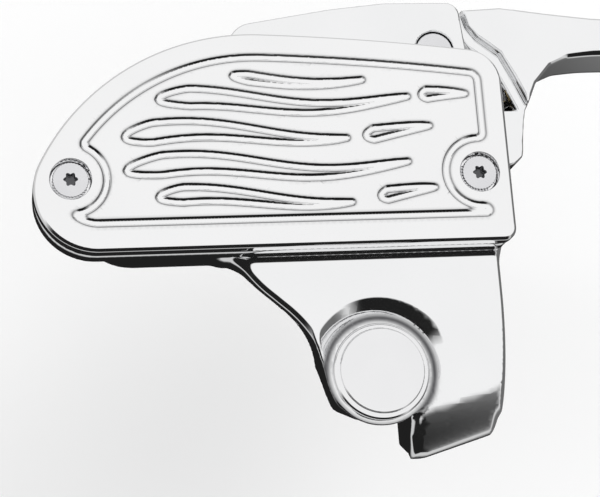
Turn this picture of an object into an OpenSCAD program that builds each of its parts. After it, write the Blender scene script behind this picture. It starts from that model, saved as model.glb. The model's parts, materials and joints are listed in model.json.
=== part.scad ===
// Motorcycle front brake master cylinder for a 1-inch handlebar.
// Origin: centre of the handlebar bore. +X runs along the bar towards the grip,
// +Y points forward, +Z is up, square to the reservoir cover. Millimetres.

/* [Handlebar clamp] */
// Diameter of the handlebar that the clamp holds
bar_d = 25.4; // [25:0.1:25.8]
// Width of the clamp along the bar
clamp_w = 20; // [18:1:22]
// Distance of each clamp bolt from the bar's axis
clamp_bolt_y = 18; // [17.8:0.1:18.4]
// Nominal diameter of the clamp bolts
clamp_bolt_d = 6; // [5:0.5:6]
// Half of the gap between the clamp's two halves
split_gap = 0.4; // [0.2:0.1:0.8]

/* [Reservoir and cover] */
// Height of the cover's flat top above the bar's axis
cover_top = 29.5; // [29:0.5:31]
// Thickness of the cover at its edge
cover_t = 4.3; // [4:0.1:4.8]
// Height of the thick rim below the cover
rim_h = 5; // [4:0.5:6]
// How far the reservoir's wall stands in from the cover's edge
wall_inset = 1.2; // [1:0.1:1.4]
// Thickness of the reservoir's wall
wall_t = 3; // [2.5:0.1:3.2]
// Thickness of the reservoir's floor
floor_t = 2.6; // [2:0.1:3]
// Height of the floor's underside
floor_z = 13; // [12.5:0.1:13.2]
// Height of the lower edge of the skirt below the floor
skirt_z = 10; // [9.8:0.1:11]
// Width of the slope round the cover's top edge
cover_bevel = 1.8; // [1:0.1:2]
// Places of the two cover screws
cover_screws_at = [[-76.9, 22.2], [4.6, 21.7]];
// Head diameter of the cover screws
cover_screw_head_d = 7; // [6:0.5:7]

/* [Cylinder] */
// Diameter of the hydraulic bore
bore_d = 14; // [12.7:0.1:14]
// Height and forward position of the bore's axis
bore_at = [33, 4];
// Mouth of the bore, where the lever pushes
mouth_x = 6; // [5:0.5:7]
// Closed end of the bore
bore_end_x = -46; // [-48:1:-44]
// Radius of the casting around the bore
barrel_r = 10.6; // [10.2:0.1:10.8]
// Centre of the brake line's outlet boss
outlet_at = [-57, 33];
// Drilled diameter of the outlet's M10 thread
outlet_d = 9; // [8.8:0.1:9.2]

/* [Mirror boss] */
// Centre of the mirror boss
mirror_at = [-15.7, -15.2];
// Diameter of the plug's rim
plug_d = 19.7; // [18:0.1:20]
// Nominal thread diameter of the mirror hole
mirror_thread_d = 8; // [6:1:10]

/* [Lever] */
// Place of the lever's pivot
pivot_at = [2.1, 53.3];
// Radius of the lever's eye
eye_r = 8.5; // [8:0.1:8.6]
// Diameter of the pivot pin
pin_d = 7; // [6:0.5:7]
// Height of the blade beyond the bracket
blade_h = 14; // [12:1:15]
// Half of the blade's thickness, front to back
blade_half = 3.5; // [3:0.1:4]
// Radius of the ball at the lever's tip
ball_r = 8; // [7:0.5:8]

/* [Hidden] */
$fn = 48;

chrome = "gainsboro";
steel = "silver";
rubber = [0.13, 0.13, 0.14];
bore_y = bore_at[0];
bore_z = bore_at[1];
bore_r = bore_d / 2;
bar_r = bar_d / 2;
bar_relief_r = bar_r + 0.6;

// the centre of the next of two arcs that touch at angle a, their outward normal there
function next_centre(c, r, next_r, a) = c + (r - next_r) * [cos(a), sin(a)];

// the reservoir's outline as tangent arcs: centre, radius, first and last outward angle
nose = [[-71.8, 20.15], 12.35, 152.5, 270];
shoulder_r = 48.2;
shoulder = [next_centre(nose[0], nose[1], shoulder_r, nose[2]), shoulder_r, 87.5, nose[2]];
crown_r = 500;
crown = [next_centre(shoulder[0], shoulder_r, crown_r, shoulder[2]), crown_r, 82.57, shoulder[2]];
far_corner_r = 7.25;
near_y = nose[0][1] - nose[1];
right_x = next_centre(crown[0], crown_r, far_corner_r, crown[2])[0] + far_corner_r;
corner_r = 2.5;
least_r = 0.8;
nose_setback = 7.8;
// heights of the stack between body and cover
lip_t = 0.8;
cover_base = cover_top - cover_t;
rim_top = cover_base - lip_t;
rim_base = rim_top - rim_h;
cavity_floor = floor_z + floor_t;
screw_thread_r = 2;
screw_seat_z = cover_top - 2.6;
// lever bracket
ear_t = 4.2;
slot_low = bore_z - 5;
slot_high = bore_z + 5;
ear_top = slot_high + ear_t;
ear_base = slot_low - ear_t;
slot_gap = 0.3;
slot_r = eye_r + 1;
ear_x = 8.6;
ear_front_y = 64;
head_recess_r = 4.15;
running_gap = 0.05;
// master cylinder inside
counterbore_r = 8.6;
counterbore_x = 0.8;
rod_end_x = 12.2;
land_r = bore_r - running_gap;
rod_r = 4.5;
stub_r = 3.2;
front_face_x = -25.4;
cup_len = 3.9;
seat_x = -29.5;
spring_turns = 6;
spring_wire_r = 0.65;
spring_r = 5.2;
spring_ring_sides = 6;
spring_steps_per_turn = 16;
// brake light switch
plunger_y = 58.5;
switch_x = [-36, -22.3];
switch_y = [52, 60];
switch_base = slot_low + 0.5;
switch_screw_at = [-30, 55.5];
terminal_y = [53.2, 57.2];
terminal_t = 0.8;

// points of one arc
function arc(c, r, a0, a1, n) = [for (i = [0 : n]) let (a = a0 + (a1 - a0) * i / n) c + r * [cos(a), sin(a)]];

// the far corner drawn in by i, still touching the right side and the crown:
// centre, radius and the angle where it meets the crown
function far_corner_at(i) = let (
    r = max(far_corner_r - i, least_r),
    u = right_x - i - r - crown[0][0],
    v = sqrt(pow(crown_r - i - r, 2) - u * u))
    [crown[0] + [u, v], r, atan2(v, u)];

// the reservoir's outline, drawn in by i all round
function outline(i) = let (c = max(corner_r - i, least_r), far = far_corner_at(i)) concat(
    arc([right_x - i - c, near_y + i + c], c, -90, 0, 6),
    arc(far[0], far[1], 0, far[2], 10),
    arc(crown[0], crown_r - i, far[2], crown[3], 4),
    arc(shoulder[0], shoulder_r - i, shoulder[2], shoulder[3], 14),
    arc(nose[0], nose[1] - i, nose[2], nose[3], 16));

// a cubic Bezier's point and the blade's centre line
function bezier(p, t) = pow(1 - t, 3) * p[0] + 3 * t * pow(1 - t, 2) * p[1]
    + 3 * t * t * (1 - t) * p[2] + pow(t, 3) * p[3];
blade_path = [[21, 57.2], [75, 57], [105, 45.5], [163, 58.5]];
blade_steps = 24;
function blade_half_at(x) = blade_half + 1.9 * exp(-(x - 21) / 9);

module prism(points, z0, z1) {
    translate([0, 0, z0]) linear_extrude(z1 - z0) polygon(points);
}

module box(low, high) {
    translate(low) cube(high - low);
}

module rod_z(at, r, z0, z1) {
    translate([at[0], at[1], z0]) cylinder(r = r, h = z1 - z0);
}

module rod_x(r, x0, x1, y = bore_y, z = bore_z) {
    translate([x0, y, z]) rotate([0, 90, 0]) cylinder(r = r, h = x1 - x0);
}

// a profile of [radius, x] points turned about the bore's axis
module turned(profile) {
    translate([0, bore_y, bore_z]) rotate([0, 90, 0]) rotate_extrude() polygon(profile);
}

// a YZ profile extruded along the bar
module along_bar(points, x0, x1) {
    translate([x0, 0, 0]) rotate([90, 0, 90]) linear_extrude(x1 - x0) polygon(points);
}

// the set-back outline of the reservoir's wall and cavity
module well(i, z0, z1) {
    translate([0, 0, z0]) linear_extrude(z1 - z0) intersection() {
        polygon(outline(i));
        translate([nose_setback, 0]) polygon(outline(i));
        translate([-100, 0]) square([100 + right_x - i, 100]);
    }
}

// ---- body casting ----

// the saddle over the bar: its rear face stands at an angle to the bar
saddle_rear = 26.5;
saddle_height = 17.6;
saddle_turn = 15;
saddle_profile = concat(
    [for (i = [0 : 12]) let (a = 90 * i / 12)
        [-saddle_rear * cos(a), split_gap + (saddle_height - split_gap) * sin(a)]],
    [[45, saddle_height], [45, split_gap]]);
neck_plan = [[-44.5, 9], [-39.8, 3.1], [-36, -0.5], [-33.4, -2.9], [-31.2, -5.4], [-29.3, -8.3],
             [-27.8, -11.6], [-26.6, -15.2], [-25.6, -18.6], [-24.2, -21.4], [-20, -23],
             [clamp_w / 2, -23], [clamp_w / 2, 24], [-48, 24]];
lug_plan = [[-9.3, 24], [-9.3, -27.5], [-8.3, -31.6], [-4.8, -32.2], [clamp_w / 2, -27.6], [clamp_w / 2, 24]];
ear_plan = concat(
    [[-42, 38], [-42, 54]],
    arc([-36, 54], 6, 180, 107, 5),
    [[-20, 62.7], [-8, ear_front_y]],
    arc([ear_x - 3.3, ear_front_y - 3], 3, 90, 0, 5),
    [[ear_x + 0.4, 53], [ear_x + 1.2, 44], [mouth_x, 38]]);

module reservoir_shell() {
    difference() {
        union() {
            prism(outline(0.6), rim_base, rim_top);
            well(wall_inset, floor_z, rim_base + 1);
            difference() {
                well(wall_inset, skirt_z, floor_z + 0.1);
                well(wall_inset + wall_t, skirt_z - 1, floor_z);
            }
            rod_z(cover_screws_at[0], 4.6, floor_z, rim_base + 1);
        }
        difference() {
            well(wall_inset + wall_t, cavity_floor, rim_top + 1);
            for (p = cover_screws_at) rod_z(p, 4.4, cavity_floor - 1, rim_top + 2);
        }
    }
}

module saddle() {
    intersection() {
        translate([clamp_w / 2, 0, 0]) rotate([0, 0, saddle_turn]) along_bar(saddle_profile, -70, 15);
        union() {
            prism(neck_plan, 6, saddle_height + 1);
            prism(lug_plan, 0, saddle_height + 1);
            box([-46, 9, 3], [clamp_w / 2, 24, saddle_height + 1]);
        }
    }
}

module mirror_pocket() {
    translate([mirror_at[0], mirror_at[1], 13.6]) cylinder(r1 = 11.4, r2 = 15.9, h = 5);
}

module mirror_boss() {
    translate([mirror_at[0], mirror_at[1], -2]) cylinder(r1 = 6.6, r2 = 10.9, h = 15.8);
}

module bracket() {
    prism(ear_plan, slot_high, ear_top);
    intersection() {
        prism(ear_plan, ear_base, slot_high + 1);
        difference() {
            box([-22, 38, ear_base], [mouth_x + 8, 70, slot_high + 1]);
            box([-9, 55, slot_low], [mouth_x + 9, 71, slot_high]);
            rod_z(pivot_at, slot_r, slot_low, slot_high);
            box([pivot_at[0] - 7, bore_y + barrel_r - 2, slot_low], [mouth_x + 9, 71, slot_high]);
            box([mouth_x, bore_y, slot_low], [mouth_x + 9, 71, slot_high]);
        }
    }
}

module bore_cuts() {
    rod_x(bore_r, bore_end_x, mouth_x + 1);
    rod_x(counterbore_r, counterbore_x, mouth_x + 1);
    rod_x(9.2, 1.6, 2.6);
    rod_x(1.5, outlet_at[0], bore_end_x + 1, bore_y, -1);
    rod_z([-30.2, bore_y], 0.4, bore_z + 2, cavity_floor + 1);
    rod_z([-15, bore_y], 1.5, bore_z + 2, cavity_floor + 1);
    rod_z(outlet_at, outlet_d / 2, -12, 1);
}

module cylinder_body() color(chrome) difference() {
    union() {
        reservoir_shell();
        rod_x(barrel_r, -52, mouth_x);
        box([-50, bore_y - 10, bore_z], [mouth_x, bore_y + 10, cavity_floor - 1]);
        rod_z(outlet_at, 8.8, -11, floor_z + 1);
        rod_x(9, outlet_at[0], -50);
        difference() {
            saddle();
            mirror_pocket();
        }
        mirror_boss();
        bracket();
    }
    bore_cuts();
    rod_x(bar_r, -clamp_w / 2, clamp_w / 2 + 1, 0, 0);
    rod_x(bar_relief_r, -100, -clamp_w / 2, 0, 0);
    box([-clamp_w / 2 - 20, -34, -3], [clamp_w / 2 + 1, 15, split_gap]);
    for (s = [-1, 1]) rod_z([0, s * clamp_bolt_y], clamp_bolt_d / 2, -1, 8.5);
    rod_z(mirror_at, mirror_thread_d / 2, 8.2, 20);
    for (p = cover_screws_at) rod_z(p, screw_thread_r, rim_top - 9, rim_top + 1);
    rod_z(pivot_at, pin_d / 2 + running_gap, ear_base - 1, ear_top + 1);
    rod_z(pivot_at, head_recess_r, ear_top - 2, ear_top + 1);
    rod_x(3.6, -22.5, -8.5, plunger_y, bore_z);
    rod_z(switch_screw_at, 1.5, slot_high - 1, slot_high + 3);
}

// ---- cover and reservoir contents ----

module reservoir_cover() color(chrome) difference() {
    union() {
        prism(outline(0), cover_base, cover_top - cover_bevel);
        hull() {
            prism(outline(0), cover_top - cover_bevel - 0.1, cover_top - cover_bevel);
            prism(outline(cover_bevel), cover_top - 0.1, cover_top);
        }
    }
    difference() {
        well(wall_inset + wall_t, cover_base - 1, cover_base + 1.8);
        for (p = cover_screws_at) rod_z(p, 4.4, cover_base - 2, cover_base + 3);
    }
    for (p = cover_screws_at) {
        rod_z(p, 4.05, screw_seat_z, cover_top + 1);
        rod_z(p, 2.25, cover_base - 1, cover_top);
    }
}

module cover_screws() color(steel) for (p = cover_screws_at) difference() {
    union() {
        rod_z(p, cover_screw_head_d / 2, screw_seat_z + 0.02, cover_top - 0.3);
        rod_z(p, screw_thread_r - 0.02, rim_top - 8, screw_seat_z + 0.1);
    }
    rod_z(p, 1.35, cover_top - 2, cover_top);
}

module diaphragm() color(rubber) difference() {
    union() {
        prism(outline(0.9), rim_top + 0.01, cover_base - 0.01);
        well(wall_inset + wall_t + 0.6, 18.4, rim_top + 0.4);
    }
    well(wall_inset + wall_t + 1.8, 19.6, cover_base + 1);
    for (p = cover_screws_at) rod_z(p, p == cover_screws_at[0] ? 2.4 : 5.4, 15, cover_base + 1);
}

module diaphragm_plate() color("white") difference() {
    well(wall_inset + wall_t + 0.8, cover_base + 0.05, cover_base + 1.2);
    rod_z(cover_screws_at[1], 5.4, cover_base - 1, cover_base + 2);
    rod_z([-38, 30], 1.2, cover_base - 1, cover_base + 2);
}

module port_baffle() color("silver") difference() {
    box([-36, bore_y - 7, cavity_floor + 0.02], [-9, bore_y + 7, cavity_floor + 1]);
    for (x = [-33, -27, -21, -12]) rod_z([x, bore_y], 0.8, cavity_floor - 1, cavity_floor + 2);
}

// ---- mirror plug ----

module mirror_hole_plug() color(chrome) {
    rod_z(mirror_at, plug_d / 2, 13.82, 16.3);
    rod_z(mirror_at, plug_d / 2 - 1.4, 16.2, 17.1);
    rod_z(mirror_at, mirror_thread_d / 2 - 0.02, 8.6, 13.9);
}

// ---- clamp ----

foot_plan = [[-6.8, -10], [-6.8, -26], [-5, -28], [-1, -28.3], [clamp_w / 2 - 2, -25.6],
             [clamp_w / 2, -24], [clamp_w / 2, -10]];

module handlebar_clamp() color(chrome) difference() {
    union() {
        rod_x(18.4, -clamp_w / 2, clamp_w / 2, 0, 0);
        prism(foot_plan, -14, -split_gap);
        box([-clamp_w / 2, 12, -14], [clamp_w / 2, 23, -split_gap]);
    }
    box([-clamp_w, -30, -split_gap], [clamp_w, 30, 30]);
    rod_x(bar_r, -clamp_w, clamp_w, 0, 0);
    for (s = [-1, 1]) {
        rod_z([0, s * clamp_bolt_y], clamp_bolt_d / 2 + 0.3, -30, 1);
        rod_z([0, s * clamp_bolt_y], 6.2, -30, bolt_seat(s));
    }
}

function bolt_seat(side) = side < 0 ? -14 : -13;

module clamp_bolts() color(steel) for (s = [-1, 1]) difference() {
    union() {
        rod_z([0, s * clamp_bolt_y], 5, bolt_seat(s) - 7.05, bolt_seat(s) - 1.05);
        rod_z([0, s * clamp_bolt_y], clamp_bolt_d / 2 - 0.02, bolt_seat(s) - 2, 7.5);
    }
    translate([0, s * clamp_bolt_y, bolt_seat(s) - 8]) cylinder(r = 2.9, h = 4, $fn = 6);
}

module clamp_washers() color(steel) for (s = [-1, 1]) difference() {
    rod_z([0, s * clamp_bolt_y], 6, bolt_seat(s) - 1.03, bolt_seat(s) - 0.02);
    rod_z([0, s * clamp_bolt_y], clamp_bolt_d / 2 + 0.2, bolt_seat(s) - 2, bolt_seat(s) + 1);
}

// ---- hydraulics ----

module piston() color("darkgoldenrod") turned([
    [0, -31], [stub_r - 0.5, -31], [stub_r, -30.5], [stub_r, front_face_x], [land_r, front_face_x],
    [land_r, front_face_x + 2], [4.6, front_face_x + 2.4], [4.6, -6.4], [land_r, -6], [land_r, -5],
    [rod_r, -5], [rod_r, -1.8], [land_r, -1.8], [land_r, 0.7], [rod_r, 0.7],
    [rod_r, rod_end_x - 0.8], [rod_r - 0.8, rod_end_x], [0, rod_end_x]]);

module primary_cup() color(rubber) turned([
    [stub_r + 0.03, front_face_x - 0.05], [stub_r + 0.03, front_face_x - 2.2],
    [4.9, front_face_x - 2.2], [5.9, front_face_x - cup_len], [bore_r - 0.03, front_face_x - cup_len],
    [bore_r - 0.03, front_face_x - 0.6], [6.4, front_face_x - 0.05]]);

module secondary_cup() color(rubber) turned([
    [rod_r + 0.03, -1.9], [rod_r + 0.03, -4.9], [5.2, -4.9], [5.6, -3.6], [6.1, -4.9],
    [bore_r - 0.03, -4.9], [bore_r - 0.03, -2.4], [6.5, -1.9]]);

module spring_seat() color("silver") turned([
    [stub_r + 0.05, seat_x], [6.2, seat_x], [6.2, seat_x - 0.7], [4.2, seat_x - 0.7],
    [4.2, seat_x - 2.2], [stub_r + 0.05, seat_x - 2.2]]);

// the helical return spring: rings of points swept along the coil, with closed ends
module return_spring() color(steel) {
    x0 = bore_end_x + spring_wire_r + 0.1;
    x1 = seat_x - 0.8 - spring_wire_r;
    n = spring_turns * spring_steps_per_turn;
    k = spring_ring_sides;
    points = [for (i = [0 : n], j = [0 : k - 1])
        let (a = 360 * i / spring_steps_per_turn, b = 360 * j / k, r = spring_r + spring_wire_r * cos(b))
        [x0 + (x1 - x0) * i / n + spring_wire_r * sin(b), bore_y + r * cos(a), bore_z + r * sin(a)]];
    sides = [for (i = [0 : n - 1], j = [0 : k - 1]) let (m = (j + 1) % k)
        [i * k + j, i * k + m, (i + 1) * k + m, (i + 1) * k + j]];
    ends = [[for (j = [k - 1 : -1 : 0]) j], [for (j = [0 : k - 1]) n * k + j]];
    polyhedron(points, concat(sides, ends), convexity = 10);
}

module stop_washer() color(steel) turned([
    [rod_r + 0.3, counterbore_x + 0.01], [counterbore_r - 0.1, counterbore_x + 0.01],
    [counterbore_r - 0.1, 1.5], [rod_r + 0.3, 1.5]]);

module snap_ring() color(steel) difference() {
    turned([[7, 1.62], [9.1, 1.62], [9.1, 2.5], [7, 2.5]]);
    box([1, bore_y - 2, bore_z - 10], [3, bore_y + 2, bore_z]);
}

module dust_boot() color(rubber) turned([
    [rod_r + 0.08, 5.2], [6.2, 4.2], [6.2, 3.6], [7, 3.2], [7, 2.7], [counterbore_r - 0.05, 2.7],
    [counterbore_r - 0.05, 4.6], [7.4, 5], [6.8, 5.4], [rod_r + 1.2, 6.3], [rod_r + 0.08, 6.3]]);

// ---- lever ----

pusher_at = [rod_end_x + 0.3 + 4, bore_y];
root_low = slot_low + slot_gap;
root_high = slot_high - slot_gap;
root_plan = [[2.1, 61.8], [12, 63.2], [24, 62.2], [25, 50], [22.3, 42.5], [21.4, 38.5], [20.3, 30.8],
             [18.6, 29.6], [16.5, 29], pusher_at, [13.2, 33.5], [12.6, 38], [12.6, 42.5], [6, 46]];
tab_plan = [[2.1, 61.8], [-7.4, 61.2], [-7.4, 56], [-4, 52]];
web_plan = [[9.4, 63.2], [10.4, 59.5], [12.2, 57], [17, 53.2], [19.6, 47.8], [22.2, 41.8], [24.4, 46.6],
            [28, 50.6], [32, 52.6], [36, 53.2], [36, 60.9], [28, 62.3], [18, 63.7]];

function blade_edge(side) = [for (i = [0 : blade_steps])
    let (p = bezier(blade_path, i / blade_steps)) [p[0], p[1] + side * blade_half_at(p[0])]];

function reversed(list) = [for (i = [len(list) - 1 : -1 : 0]) list[i]];

module brake_lever() color(chrome) difference() {
    union() {
        rod_z(pivot_at, eye_r, root_low, root_high);
        prism(root_plan, root_low, root_high);
        rod_z(pusher_at, 4, root_low, root_high);
        prism(tab_plan, root_low, root_high);
        prism(web_plan, bore_z - blade_h / 2, bore_z + blade_h / 2);
        prism(concat(blade_edge(-1), reversed(blade_edge(1))), bore_z - blade_h / 2, bore_z + blade_h / 2);
        translate([166, 59.3, bore_z]) sphere(r = ball_r);
    }
    rod_z(pivot_at, 5, root_low - 1, root_high + 1);
}

module lever_bush() color("peru") difference() {
    rod_z(pivot_at, 4.99, root_low - 0.1, root_high + 0.1);
    rod_z(pivot_at, pin_d / 2 + running_gap, root_low - 1, root_high + 1);
}

module pivot_pin() color(steel) difference() {
    union() {
        rod_z(pivot_at, 3.95, ear_top - 1.98, ear_top - 0.4);
        rod_z(pivot_at, pin_d / 2, ear_base - 2.4, ear_top - 1);
    }
    difference() {
        rod_z(pivot_at, 6, ear_base - 1.2, ear_base - 0.3);
        rod_z(pivot_at, 2.7, ear_base - 2, ear_base);
    }
}

module pivot_clip() color(steel) difference() {
    rod_z(pivot_at, 6.2, ear_base - 1.15, ear_base - 0.35);
    rod_z(pivot_at, 2.75, ear_base - 2, ear_base);
    box([pivot_at[0] - 2.2, pivot_at[1], ear_base - 2], [pivot_at[0] + 2.2, pivot_at[1] + 8, ear_base]);
}

// ---- brake light switch ----

module brake_switch_housing() color(rubber) difference() {
    union() {
        box([switch_x[0], switch_y[0], switch_base], [switch_x[1], switch_y[1], slot_high - 0.05]);
        rod_x(3.5, switch_x[1] - 1, -9.6, plunger_y, bore_z);
    }
    rod_x(1.55, -20, -9, plunger_y, bore_z);
    rod_z(switch_screw_at, 1.6, switch_base - 1, slot_high + 1);
    rod_z(switch_screw_at, 3, switch_base - 1, switch_base + 2);
    for (y = terminal_y) box([switch_x[0] - 1, y - 0.4, bore_z - 2], [switch_x[0] + 3, y + 1.2, bore_z + 2]);
}

module brake_switch_plunger() color("ivory") {
    rod_x(1.5, -14, -9.2, plunger_y, bore_z);
    translate([-9.2, plunger_y, bore_z]) sphere(r = 1.5);
}

module brake_switch_terminals() color("gold") for (y = terminal_y) {
    box([switch_x[0] - 7, y, bore_z - 1.8], [switch_x[0] + 2.8, y + terminal_t, bore_z + 1.8]);
}

module brake_switch_screw() color(steel) difference() {
    union() {
        rod_z(switch_screw_at, 2.7, switch_base - 0.1, switch_base + 1.98);
        rod_z(switch_screw_at, 1.48, switch_base + 1.8, slot_high + 2.6);
    }
    translate([switch_screw_at[0] - 3, switch_screw_at[1] - 0.4, switch_base - 1]) cube([6, 0.8, 1.8]);
}

cylinder_body();
reservoir_cover();
cover_screws();
diaphragm();
diaphragm_plate();
port_baffle();
mirror_hole_plug();
handlebar_clamp();
clamp_bolts();
clamp_washers();
piston();
primary_cup();
secondary_cup();
return_spring();
spring_seat();
stop_washer();
snap_ring();
dust_boot();
brake_lever();
lever_bush();
pivot_pin();
pivot_clip();
brake_switch_housing();
brake_switch_plunger();
brake_switch_terminals();
brake_switch_screw();
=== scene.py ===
"""Looks of the brake master cylinder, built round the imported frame. Shapes are worked out in millimetres."""

import json
import math

import bpy
import numpy as np
import openvdb as vdb
from mathutils import Matrix, Vector


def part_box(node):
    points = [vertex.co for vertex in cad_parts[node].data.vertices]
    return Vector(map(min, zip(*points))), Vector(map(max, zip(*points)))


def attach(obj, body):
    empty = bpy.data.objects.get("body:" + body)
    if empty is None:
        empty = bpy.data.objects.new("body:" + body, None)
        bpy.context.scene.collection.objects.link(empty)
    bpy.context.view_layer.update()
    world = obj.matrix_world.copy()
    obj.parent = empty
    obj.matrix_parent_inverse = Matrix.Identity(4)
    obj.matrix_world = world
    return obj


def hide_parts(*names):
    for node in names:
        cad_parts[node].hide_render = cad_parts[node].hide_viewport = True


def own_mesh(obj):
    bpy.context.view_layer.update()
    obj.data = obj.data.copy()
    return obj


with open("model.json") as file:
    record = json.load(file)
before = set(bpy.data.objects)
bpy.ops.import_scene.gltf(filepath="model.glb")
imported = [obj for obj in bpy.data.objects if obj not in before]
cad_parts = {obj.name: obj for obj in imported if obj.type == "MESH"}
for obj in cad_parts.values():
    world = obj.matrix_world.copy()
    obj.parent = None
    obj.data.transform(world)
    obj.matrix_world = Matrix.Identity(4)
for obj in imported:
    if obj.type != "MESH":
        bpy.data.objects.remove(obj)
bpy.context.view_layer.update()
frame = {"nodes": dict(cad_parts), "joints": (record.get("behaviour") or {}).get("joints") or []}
MM = 0.001


def box_mm(node):
    lo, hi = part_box(node)
    return np.array(lo) / MM, np.array(hi) / MM


# ---------------------------------------------------------------- driving sizes (mm)
cover_lo, cover_hi = box_mm("reservoir_cover")
COVER_TOP, COVER_BASE = cover_hi[2], cover_lo[2]
RIGHT_X, NEAR_Y = cover_hi[0], cover_lo[1]
LIP, RIM_T = 0.8, 5
RIM_TOP = COVER_BASE - LIP
RIM_BASE = RIM_TOP - RIM_T
FLOOR_Z, SKIRT_Z = 13.0, 10.0
WALL_IN, WALL_T, FLOOR_T = 1.2, 3.0, 2.6


def next_arc(last, radius, a0):
    """The arc that touches the last one where that begins: centre, radius, first and last outward angle."""
    (x, y), r, a = last[:3]
    reach = r - radius
    return (x + reach * math.cos(math.radians(a)), y + reach * math.sin(math.radians(a))), radius, a0, a


NOSE = ((-71.8, 20.15), 12.35, 152.5, 270)
SHOULDER = next_arc(NOSE, 48.2, 87.5)
CROWN = next_arc(SHOULDER, 500, 82.57)
FAR_CORNER = next_arc(CROWN, 7.25, 0)
CORNER_R = 2.5
NOSE_SETBACK = 7.8
SCREWS = ((-76.9, 22.2), (4.6, 21.7))
BORE_Y, BORE_Z, BORE_R = 33.0, 4.0, 7.0
BARREL_R, MOUTH_X, BORE_END = 10.6, 6.0, -46.0
OUTLET = (-57.0, 33.0)
MIRROR = (-15.7, -15.2)
BAR_R, CLAMP_X, BOLT_Y, SPLIT = 12.7, 10.0, 18.0, 0.4
pivot = next(j for j in frame["joints"] if j["name"] == "lever_swing")["pos_m"]
PIVOT = (pivot[0] / MM, pivot[1] / MM)
SLOT_HALF, EAR_T, EAR_FRONT = 5, 4.2, 64.0
SLOT_LOW, SLOT_HIGH = BORE_Z - SLOT_HALF, BORE_Z + SLOT_HALF
EAR_TOP, EAR_BASE, EAR_X = SLOT_HIGH + EAR_T, SLOT_LOW - EAR_T, 8.6
PLUNGER_Y = sum(box_mm("brake_switch_plunger"))[1] / 2
SWITCH_SCREW = sum(box_mm("brake_switch_screw"))[:2] / 2


# ---------------------------------------------------------------- distance fields
class Grid:
    """A box of cells; x, y and z are its axes, shaped to broadcast against each other."""

    def __init__(self, lo, hi, step):
        self.lo, self.step = np.array(lo, float), step
        x, y, z = (np.arange(a, b + step, step, dtype=np.float32) for a, b in zip(lo, hi))
        self.x, self.y, self.z = x[:, None, None], y[None, :, None], z[None, None, :]
        self.shape = (len(x), len(y), len(z))


def meet(a, b, r=0.25):
    """Intersection, its edge rounded to radius r."""
    return np.minimum(-r, np.maximum(a, b)) + np.hypot(np.maximum(a + r, 0), np.maximum(b + r, 0))


def join(a, b, r=0.6):
    """Union, its inner corner filled to radius r."""
    return np.maximum(r, np.minimum(a, b)) - np.hypot(np.maximum(r - a, 0), np.maximum(r - b, 0))


def cut(a, b, r=0.25):
    return meet(a, -b, r)


def slab(w, a, b):
    return np.abs(w - (a + b) / 2) - (b - a) / 2


def disc(u, v, at, r):
    return np.hypot(u - at[0], v - at[1]) - r


def poly(u, v, points):
    """Signed distance to a closed polygon over two axes."""
    u, v = np.broadcast_arrays(u, v)
    near = np.full(u.shape, 1e9, np.float32)
    inside = np.zeros(u.shape, bool)
    for (ax, ay), (bx, by) in zip(points, list(points[1:]) + [points[0]]):
        ex, ey = bx - ax, by - ay
        if ex * ex + ey * ey < 1e-8:
            continue
        wx, wy = u - ax, v - ay
        t = np.clip((wx * ex + wy * ey) / (ex * ex + ey * ey), 0, 1)
        near = np.minimum(near, (wx - ex * t) ** 2 + (wy - ey * t) ** 2)
        if ey:
            inside ^= ((ay <= v) != (by <= v)) & (u < ax + wy * (ex / ey))
    return np.where(inside, -np.sqrt(near), np.sqrt(near))


def stroke(u, v, points):
    """Distance to an open polyline over two axes."""
    u, v = np.broadcast_arrays(u, v)
    near = np.full(u.shape, 1e9, np.float32)
    for (ax, ay), (bx, by) in zip(points, points[1:]):
        ex, ey = bx - ax, by - ay
        wx, wy = u - ax, v - ay
        t = np.clip((wx * ex + wy * ey) / max(ex * ex + ey * ey, 1e-8), 0, 1)
        near = np.minimum(near, (wx - ex * t) ** 2 + (wy - ey * t) ** 2)
    return np.sqrt(near)


def prism(g, points, z0, z1, r=0.4):
    return meet(poly(g.x, g.y, points), slab(g.z, z0, z1), r)


def rod_z(g, at, radius, z0, z1, r=0.3):
    return meet(disc(g.x, g.y, at, radius), slab(g.z, z0, z1), r)


def rod_x(g, radius, x0, x1, y=BORE_Y, z=BORE_Z, r=0.3):
    return meet(disc(g.y, g.z, (y, z), radius), slab(g.x, x0, x1), r)


def block(g, lo, hi, r=0.4):
    return meet(meet(slab(g.x, lo[0], hi[0]), slab(g.y, lo[1], hi[1]), r), slab(g.z, lo[2], hi[2]), r)


def cone_z(g, at, r0, r1, z0, z1, r=0.3):
    slope = (r1 - r0) / (z1 - z0)
    side = (np.hypot(g.x - at[0], g.y - at[1]) - r0 - slope * (g.z - z0)) / math.hypot(1, slope)
    return meet(side, slab(g.z, z0, z1), r)


def arc(c, radius, a0, a1, step=0.5):
    n = max(4, int(abs(math.radians(a1 - a0)) * radius / step))
    angles = [math.radians(a0 + (a1 - a0) * i / n) for i in range(n + 1)]
    return [(c[0] + radius * math.cos(a), c[1] + radius * math.sin(a)) for a in angles]


def outline(inset):
    """The reservoir's outline as tangent arcs, drawn in by inset all round."""
    c = max(CORNER_R - inset, 0.8)
    points = arc((RIGHT_X - inset - c, NEAR_Y + inset + c), c, -90, 0)
    for centre, radius, a0, a1 in (FAR_CORNER, CROWN, SHOULDER, NOSE):
        points += arc(centre, radius - inset, a0, a1)
    return points


def well(g, inset, z0, z1, r=0.4):
    """The reservoir's wall and cavity: the outline with its nose set back."""
    base = poly(g.x, g.y, outline(inset))
    back = poly(g.x, g.y, [(x + NOSE_SETBACK, y) for x, y in outline(inset)])
    side = np.maximum(np.maximum(base, back), g.x - (RIGHT_X - inset))
    return meet(side, slab(g.z, z0, z1), r)


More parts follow.
